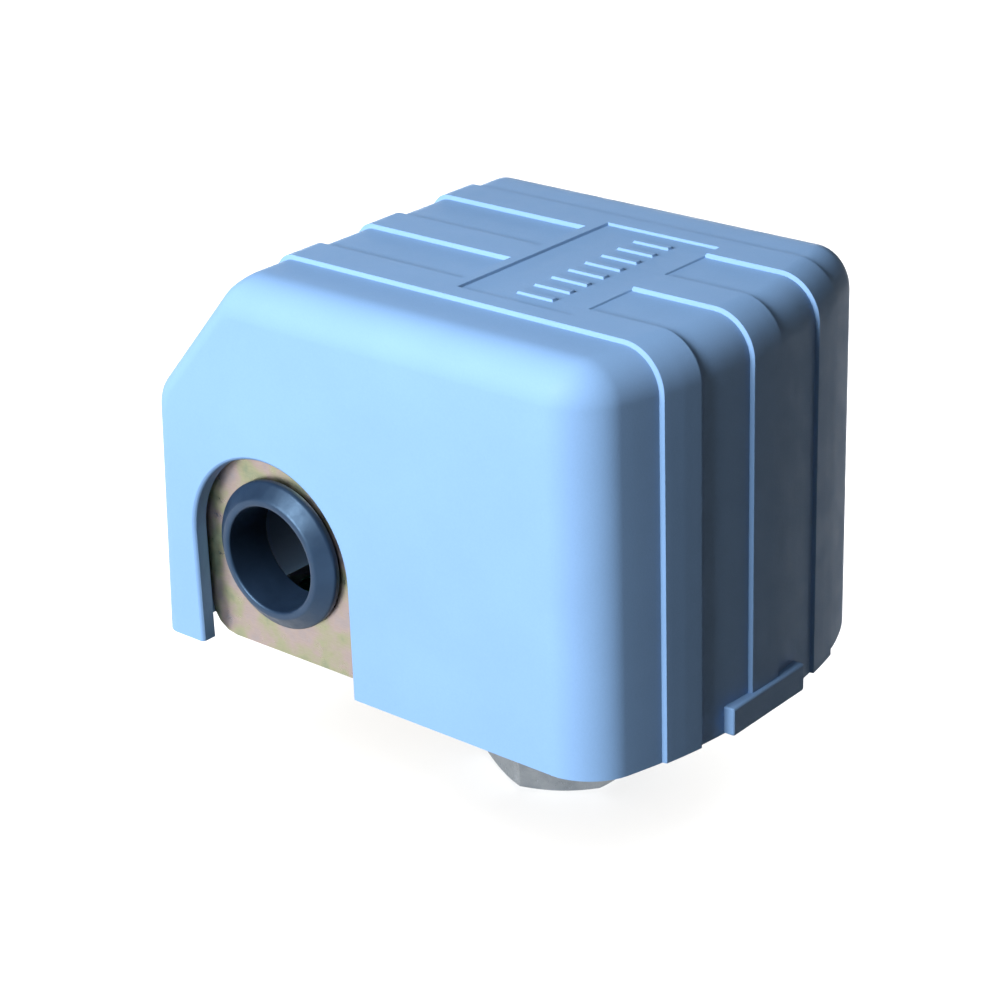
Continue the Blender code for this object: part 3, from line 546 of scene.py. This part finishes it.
def rounded_bar(name, low, high, radius):
    """A box along y with its long edges rounded and its ends drawn in a little."""
    rings = []
    for y, pinch in ((low[1], 0.5), (low[1] + 0.15 * MM, 0.15), (low[1] + 0.4 * MM, 0.0),
                     (high[1] - 0.4 * MM, 0.0), (high[1] - 0.15 * MM, 0.15), (high[1], 0.5)):
        r = radius * (1 - pinch * 0.5)
        margin = r + pinch * 0.5 * MM
        right, bottom, top = high[0] - margin, low[2] + margin, high[2] - margin
        corners = ((right, bottom, -90), (right, top, 0), (low[0], top, 90), (low[0], bottom, 180))
        ring = []
        for x, z, start in corners:
            for i in range(6):
                angle = math.radians(start + 90 * i / 5)
                ring.append((x + r * math.cos(angle), y, z + r * math.sin(angle)))
        rings.append(ring)
    return loft(name, rings, tool=True)


def make_cover():
    """The moulded shell with its grip bar, its nut's boss and pocket, its slots and its rear rim."""
    cover = envelope("cover_shell", detailed=True, tool=False)
    grip_low = (SIDE_X - 4 * MM, GRIP_Y[0], RIM_Z)
    grip_high = (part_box("cover")[1].x, GRIP_Y[1], RIM_Z + GRIP_HEIGHT)
    combine(cover, "UNION", rounded_bar("grip", grip_low, grip_high, GRIP_EDGE))
    combine(cover, "DIFFERENCE", envelope("cavity", -WALL, RIM_Z - 4 * MM))
    boss_z = (POCKET_Z - POCKET_FLOOR, POCKET_Z + 11.8 * MM)
    boss = prism("boss", (NUT_X, 0), BOSS_RADIUS, *boss_z, 64, tool=True)
    combine(boss, "INTERSECT", envelope("boss_envelope", -0.4 * MM))
    combine(cover, "UNION", boss)
    pocket = [
        (0.0, POCKET_Z + 14 * MM),
        (POCKET_RADIUS, POCKET_Z + 14 * MM),
        (POCKET_RADIUS, POCKET_Z + 0.5 * MM),
        (POCKET_RADIUS - 0.15 * MM, POCKET_Z + 0.15 * MM),
        (POCKET_RADIUS - 0.5 * MM, POCKET_Z),
        (0.0, POCKET_Z),
    ]
    cutters = [
        turned("pocket", pocket, (NUT_X, 0, 0), sides=64, tool=True),
        prism("stud_way", (NUT_X, 0), STUD_WAY, POCKET_Z - 6 * MM, POCKET_Z + 2 * MM, 32, tool=True),
        slot_tool(-1),
        slot_tool(1),
        rear_rim_tool(),
    ]
    combine(cover, "DIFFERENCE", *cutters)
    finish_piece(cover, "cover", "cover_plastic", "cover", angle=24)


make_cover()


# Bushings

def make_bushing(name, side):
    """A snapped-in rubber bushing: a narrow ring, a cone to the flange, a neck in the ear and a lip."""
    front = HALF_DEPTH
    bore, ring, flange, neck, lip = (r * MM for r in (8.6, 9.95, 12.2, 10.6, 11.4))
    outline = [
        (bore + 0.25 * MM, front - 0.05 * MM),
        (bore + 0.5 * MM, front),
        (ring - 0.3 * MM, front),
        (ring - 0.08 * MM, front - 0.06 * MM),
        (ring + 0.12 * MM, front - 0.25 * MM),
        (flange - 0.3 * MM, front - 1.75 * MM),
        (flange - 0.05 * MM, front - 2.05 * MM),
        (flange, front - 2.35 * MM),
        (flange, front - 2.9 * MM),
        (flange - 0.1 * MM, front - 3.0 * MM),
        (neck, front - 3.0 * MM),
        (neck, front - 5.2 * MM),
        (lip - 0.1 * MM, front - 5.2 * MM),
        (lip, front - 5.35 * MM),
        (lip, front - 6.3 * MM),
        (neck - 0.1 * MM, front - 8.4 * MM),
        (neck - 0.4 * MM, front - 8.6 * MM),
        (bore + 0.3 * MM, front - 8.6 * MM),
        (bore, front - 8.3 * MM),
        (bore, front - 4.4 * MM),
        (bore, front - 0.4 * MM),
    ]
    bushing = turned(f"{name}_rubber", outline, (CONDUIT_X, 0, CONDUIT_Z), (0, side, 0), 96)
    finish_piece(bushing, "frame", "black_rubber", name, angle=50)


make_bushing("conduit_bushing_front", -1)
make_bushing("conduit_bushing_rear", 1)


# Hexagons, threads, screws

def thread(radius, depth, low, high, pitch):
    """A threaded shank's profile from high down to low, as (radius, height) points."""
    count = max(2, int((high - low) / pitch))
    step = (high - low) / count
    points = []
    for i in range(count):
        z = high - i * step
        points += [(radius - depth, z), (radius, z - step * 0.4), (radius, z - step * 0.55)]
    points.append((radius - depth, low))
    return points


def hex_nut(node, slot, x, flats, bore, dome=0.0):
    """A nut with chamfered corners in its CAD node's space, its hexagon standing as the CAD's does."""
    name = f"{node}_hex"
    low, high = (corner.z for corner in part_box(node))
    top = high - dome
    nut = prism(f"{name}_blank", (x, 0), flats / math.sqrt(3), low, top, 6)
    crown = [(0.0, top), (flats * 0.47, top), (flats * 0.60, top - flats * 0.07)]
    crown += [(flats * 0.60, low + flats * 0.05), (flats * 0.50, low), (0.0, low)]
    combine(nut, "INTERSECT", turned(f"{name}_crown", crown, (x, 0, 0), sides=96, tool=True))
    if dome:
        cap = [(3.4 * MM * math.sin(a), top - 0.6 * MM + (dome + 0.6 * MM) * math.cos(a))
               for a in [math.pi / 2 * i / 8 for i in range(9)]]
        cap += [(3.4 * MM, top - 1.2 * MM), (0.0, top - 1.2 * MM)]
        combine(nut, "UNION", turned(f"{name}_cap", cap, (x, 0, 0), sides=64, tool=True))
        way = prism(f"{name}_way", (x, 0), bore, low - 1 * MM, low + 4.4 * MM, 32, tool=True)
        combine(nut, "DIFFERENCE", way)
    else:
        lead = [(0.0, high + 1 * MM), (bore + 1.4 * MM, high + 1 * MM), (bore, high - 0.4 * MM)]
        lead += [(bore, low + 0.4 * MM), (bore + 1.4 * MM, low - 1 * MM), (0.0, low - 1 * MM)]
        combine(nut, "DIFFERENCE", turned(f"{name}_way", lead, (x, 0, 0), sides=48, tool=True))
    finish_piece(nut, node, slot, node, edge=0.08 * MM)


hex_nut("cover_nut", "bright_zinc", NUT_X, 8 * MM, STUD_WAY, dome=1.6 * MM)
hex_nut("range_nut", "brass", RANGE_X, 11 * MM, 3.35 * MM)
hex_nut("differential_nut", "brass", DIFFERENTIAL_X, 7.6 * MM, STUD_WAY)


def stud(node, x, radius, flats, foot_height, pitch):
    """A threaded stud with a hexagonal foot."""
    low, high = (corner.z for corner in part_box(node))
    foot = prism(f"{node}_foot", (x, 0), flats / math.sqrt(3), low, low + foot_height, 6)
    crown = [(0.0, low + foot_height), (flats * 0.47, low + foot_height),
             (flats * 0.60, low + foot_height - flats * 0.06), (flats * 0.60, low), (0.0, low)]
    combine(foot, "INTERSECT", turned(f"{node}_crown", crown, (x, 0, 0), tool=True))
    shank = [(0.0, high), (radius - 0.5 * MM, high)]
    shank += thread(radius, 0.3 * MM, low + foot_height + 1.5 * MM, high - 0.4 * MM, pitch)
    shank += [(radius - 0.3 * MM, low + 1 * MM), (0.0, low + 1 * MM)]
    combine(foot, "UNION", turned(f"{node}_thread", shank, (x, 0, 0), sides=48, tool=True))
    finish_piece(foot, "frame", "bright_zinc", node)


stud("range_stud", RANGE_X, 3.0 * MM, 9.6 * MM, 2.4 * MM, 1.0 * MM)
stud("differential_stud", DIFFERENTIAL_X, 2.0 * MM, 6.4 * MM, 2.4 * MM, 0.8 * MM)
stud("cover_stud", NUT_X, 2.0 * MM, 7.0 * MM, 2.6 * MM, 0.7 * MM)


def centre_of(node):
    low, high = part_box(node)
    return (low.x + high.x) / 2, (low.y + high.y) / 2


def pan_screw(node, body, slot, way, radius, height, turn):
    """A slotted pan-head screw with a threaded shank; its head is up for way 1, down for way -1."""
    x, y = centre_of(node)
    low, high = (corner.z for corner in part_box(node))
    seat = high - height if way > 0 else low + height
    length = seat - low if way > 0 else high - seat
    head = [(0.0, height)]
    head += [(radius * 0.45, height * 0.98), (radius * 0.78, height * 0.86), (radius * 0.95, height * 0.62)]
    head += [(radius, height * 0.35), (radius * 0.98, height * 0.05), (radius * 0.94, 0.0)]
    head += thread(1.5 * MM, 0.2 * MM, -length + 0.5 * MM, -0.3 * MM, 0.6 * MM)
    head += [(1.0 * MM, -length), (0.0, -length)]
    screw = turned(f"{node}_pan", head, (x, y, seat), (0, 0, way), 48)
    half = 0.4 * MM
    groove = box_tool(f"{node}_groove", (-5 * MM, -half, height * 0.5), (5 * MM, half, height * 2))
    flip = Vector((0, 0, 1)).rotation_difference(Vector((0, 0, way))).to_matrix().to_4x4()
    groove.data.transform(Matrix.Translation((x, y, seat)) @ flip @ Matrix.Rotation(turn, 4, "Z"))
    combine(screw, "DIFFERENCE", groove)
    finish_piece(screw, body, slot, node)


SCREWS = (
    ("housing_screw", 4, "frame", "bright_zinc", -1, 3.0 * MM, 2.2 * MM, 0.4),
    ("block_screw", 2, "frame", "bright_zinc", 1, 3.0 * MM, 2.2 * MM, 0.7),
    ("earth_screw", 2, None, "green_screw", 1, 3.0 * MM, 2.2 * MM, 0.9),
    ("terminal_screw", 4, None, "brass", 1, 2.4 * MM, 2.0 * MM, 0.5),
)
for kind, count, body, slot, way, radius, height, turn in SCREWS:
    for number in range(1, count + 1):
        node = f"{kind}_{number}"
        pan_screw(node, body or node, slot, way, radius, height, turn * number)


# Pressure port

def make_port():
    """A chamfered hexagon under a round flange, with a threaded bore and the chamber above it."""
    flats, shelf, top = 22 * MM, 13.3 * MM, 18.0 * MM
    corner = flats / math.sqrt(3)
    port = prism("port_hex", (0, 0), corner, 0.0, shelf + 1 * MM, 6, math.radians(-26))
    crown = [(0.0, shelf + 2 * MM), (corner + 1 * MM, shelf + 2 * MM), (corner + 1 * MM, 1.25 * MM)]
    crown += [(flats * 0.475, 0.0), (0.0, 0.0)]
    combine(port, "INTERSECT", turned("port_crown", crown, (0, 0, 0), sides=96, tool=True))
    flange = [(0.0, top), (20.6 * MM, top), (21.0 * MM, top - 0.4 * MM), (21.0 * MM, shelf + 0.9 * MM)]
    flange += [(20.7 * MM, shelf + 0.3 * MM), (20.2 * MM, shelf), (0.0, shelf)]
    combine(port, "UNION", turned("port_flange", flange, (0, 0, 0), sides=128, tool=True))
    way = [(0.0, top + 2 * MM), (14 * MM, top + 2 * MM), (14 * MM, top - 2 * MM), (1.6 * MM, top - 2 * MM)]
    way += [(1.6 * MM, 13.5 * MM), (5.9 * MM, 12 * MM)]
    pitch = 1.34 * MM
    for i in range(8):
        z = 11.4 * MM - pitch * i
        way += [(5.9 * MM, z), (6.3 * MM, z - pitch * 0.4), (6.3 * MM, z - pitch * 0.55)]
    way += [(5.9 * MM, 0.7 * MM), (6.7 * MM, 0.0), (6.7 * MM, -2 * MM), (0.0, -2 * MM)]
    combine(port, "DIFFERENCE", turned("port_way", way, (0, 0, 0), sides=64, tool=True))
    holes = []
    for number in range(1, 5):
        place = centre_of(f"housing_screw_{number}")
        hole = prism(f"port_hole_{number}", place, 1.85 * MM, shelf - 2 * MM, top + 2 * MM, 32, tool=True)
        holes.append(hole)
    combine(port, "DIFFERENCE", *holes)
    finish_piece(port, "frame", "bright_zinc", "port_body")


make_port()


# Springs

def make_spring(node, body, centre, low, high, radius, wire, turns):
    """A compression spring with closed ends, swept along a fine coil."""
    per_turn = 36
    count = int(turns * per_turn)
    span = high - low - 2 * wire
    end = 2.1 * wire / span
    data = bpy.data.curves.new(f"{node}_coil", "CURVE")
    data.dimensions = "3D"
    data.bevel_depth = wire
    data.bevel_resolution = 4
    data.use_fill_caps = True
    spline = data.splines.new("POLY")
    spline.points.add(count)
    for i, point in enumerate(spline.points):
        turn = i / per_turn
        middle = min(max((turn - 1) / (turns - 2), 0.0), 1.0)
        rise = end * min(turn, 1.0) + (1 - 2 * end) * middle + end * max(turn - (turns - 1), 0.0)
        angle = math.tau * turn
        point.co = (centre[0] + radius * math.cos(angle), centre[1] + radius * math.sin(angle),
                    low + wire + span * rise, 1)
    curve = bpy.data.objects.new(f"{node}_coil", data)
    scene.collection.objects.link(curve)
    bpy.context.view_layer.update()
    mesh = bpy.data.meshes.new_from_object(curve.evaluated_get(bpy.context.evaluated_depsgraph_get()))
    bpy.data.objects.remove(curve, do_unlink=True)
    shape = bmesh.new()
    shape.from_mesh(mesh)
    bmesh.ops.remove_doubles(shape, verts=shape.verts, dist=0.001 * MM)
    coil = as_object(f"{node}_wire", shape)
    return finish_piece(coil, body, "spring_steel", node, angle=45)


for node, body, radius, wire, turns in (
    ("range_spring", "frame", 5.6 * MM, 1.1 * MM, 7),
    ("differential_spring", "frame", 3.3 * MM, 0.6 * MM, 7),
    ("contact_spring_1", "contact_carrier", 1.8 * MM, 0.3 * MM, 5),
    ("contact_spring_2", "contact_carrier", 1.8 * MM, 0.3 * MM, 5),
):
    low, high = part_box(node)
    middle = {"range_spring": (RANGE_X, 0), "differential_spring": (DIFFERENTIAL_X, 0)}
    spot = middle.get(node, (CARRIER_X, (low.y + high.y) / 2))
    coil = make_spring(node, body, spot, low.z, high.z, radius, wire, turns)
    if body == "frame":
        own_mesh(coil)


# CAD nodes that keep their shape, with the width of the soft edge that each gets, in millimetres

KEPT = {
    "bracket": 0.25, "lever": 0.25, "contact_block": 0.25, "contact_carrier": 0.2, "plunger": 0.15,
    "pivot_pin": 0.15, "pin_clip": 0.08, "range_seat": 0.12, "differential_seat": 0.12, "clamp_ring": 0.12,
    "diaphragm": 0.12,
    **{f"contact_bridge_{i}": 0.12 for i in (1, 2)},
    **{f"terminal_plate_{i}": 0.12 for i in (1, 2, 3, 4)},
    **{f"wire_clamp_{i}": 0.12 for i in (1, 2, 3, 4)},
}
slot_of = {row["node"]: row["material_slot"] for row in frame["record"]["subparts"]}
for name, edge in KEPT.items():
    obj = frame["nodes"][name]
    for index in range(len(obj.material_slots)):
        obj.material_slots[index].material = LOOKS[slot_of[name]]
    weld = obj.modifiers.new("Weld", "WELD")
    weld.merge_threshold = 0.002 * MM
    soft = obj.modifiers.new("Edges", "BEVEL")
    soft.width = edge * MM
    soft.segments = 2
    soft.limit_method = "ANGLE"
    soft.angle_limit = math.radians(35)
    soft.harden_normals = True


# Stage, camera and light

def camera():
    """The camera at azimuth 40.65 and elevation 23.94 degrees, rolled by -1.98."""
    azimuth, elevation, roll = (math.radians(v) for v in (40.65, 23.94, -1.98))
    target = Vector((-8.0 * MM, -4.75 * MM, 45.3 * MM))
    distance = 420 * MM
    level = math.cos(elevation)
    back = Vector((math.sin(azimuth) * level, -math.cos(azimuth) * level, math.sin(elevation)))
    data = bpy.data.cameras.new("camera")
    data.lens = 97.1
    data.sensor_width = 36.0
    data.clip_start = 0.01
    obj = bpy.data.objects.new("camera", data)
    scene.collection.objects.link(obj)
    turn = (-back).to_track_quat("-Z", "Y").to_matrix().to_4x4() @ Matrix.Rotation(roll, 4, "Z")
    obj.matrix_world = Matrix.Translation(target + back * distance) @ turn
    scene.camera = obj


def area_light(name, direction, distance, size, power, colour):
    data = bpy.data.lights.new(name, "AREA")
    data.shape = "RECTANGLE"
    data.size, data.size_y = size
    data.energy = power
    data.color = colour
    obj = bpy.data.objects.new(name, data)
    scene.collection.objects.link(obj)
    aim = Vector(direction).normalized()
    centre = Vector((-5 * MM, 0, 45 * MM))
    obj.location = centre + aim * distance
    obj.rotation_euler = (-aim).to_track_quat("-Z", "Y").to_euler()
    return obj


def group_of(name, objects):
    group = bpy.data.collections.new(name)
    for obj in objects:
        group.objects.link(obj)
    return group


def make_floor():
    shape = bmesh.new()
    bmesh.ops.create_grid(shape, x_segments=1, y_segments=1, size=4.0)
    floor = as_object("floor", shape)
    floor.location.z = -0.05 * MM
    look = Look("pale_floor", specular=0.2)
    look.colour(look.ramp(look.noise(0.4, 2.0), [(0.3, (0.86, 0.86, 0.86)), (0.7, (0.88, 0.88, 0.88))]))
    look.roughness(look.noise(0.3, 2.0), 0.7, 0.8)
    floor.data.materials.append(look.material)
    floor.visible_diffuse = False
    return floor


def make_world():
    """A dim warm fill, which the camera sees as a plain white backdrop."""
    world = bpy.data.worlds.new("studio")
    scene.world = world
    world.use_nodes = True
    tree = world.node_tree
    fill = tree.nodes["Background"]
    socket(fill, "Color", (0.95, 0.88, 0.80, 1.0))
    socket(fill, "Strength", 0.05)
    backdrop = tree.nodes.new("ShaderNodeBackground")
    path = tree.nodes.new("ShaderNodeLightPath")
    choice = tree.nodes.new("ShaderNodeMixShader")
    tree.links.new(path.outputs["Is Camera Ray"], choice.inputs["Fac"])
    tree.links.new(fill.outputs["Background"], choice.inputs[1])
    tree.links.new(backdrop.outputs["Background"], choice.inputs[2])
    tree.links.new(choice.outputs["Shader"], tree.nodes["World Output"].inputs["Surface"])


floor = make_floor()
camera()
make_world()
object_only = group_of("object_only", [o for o in scene.objects if o.type == "MESH" and o != floor])
floor_only = group_of("floor_only", [floor])
# name, what it lights, direction, distance, size, power, colour
LIGHTS = (
    ("key", object_only, (-0.12, -0.88, 0.46), 0.9, (0.42, 0.42), 16.5, (0.98, 0.99, 1.0)),
    ("top_fill", object_only, (0.15, -0.15, 1.0), 0.9, (0.9, 0.9), 0.75, (0.90, 0.97, 1.0)),
    ("rear_fill", object_only, (-0.75, 0.75, 0.0), 0.9, (0.6, 0.3), 3.0, (0.95, 0.97, 1.0)),
    ("warm_side", object_only, (0.75, 0.65, 0.0), 0.9, (0.6, 0.3), 0.4, (1.0, 0.55, 0.30)),
    ("floor_wash", floor_only, (0.0, 0.0, 1.0), 2.4, (7.0, 7.0), 340.0, (1.0, 1.0, 1.0)),
    ("floor_shade", floor_only, (0.0, 0.0, 1.0), 1.6, (2.2, 2.2), 9.0, (1.0, 1.0, 1.0)),
)
for name, receivers, *settings in LIGHTS:
    area_light(name, *settings).light_linking.receiver_collection = receivers
# The object casts no shadow in the floor's main light, and a faint one in its second
bpy.data.objects["floor_wash"].light_linking.blocker_collection = floor_only
scene.view_settings.view_transform = "Standard"
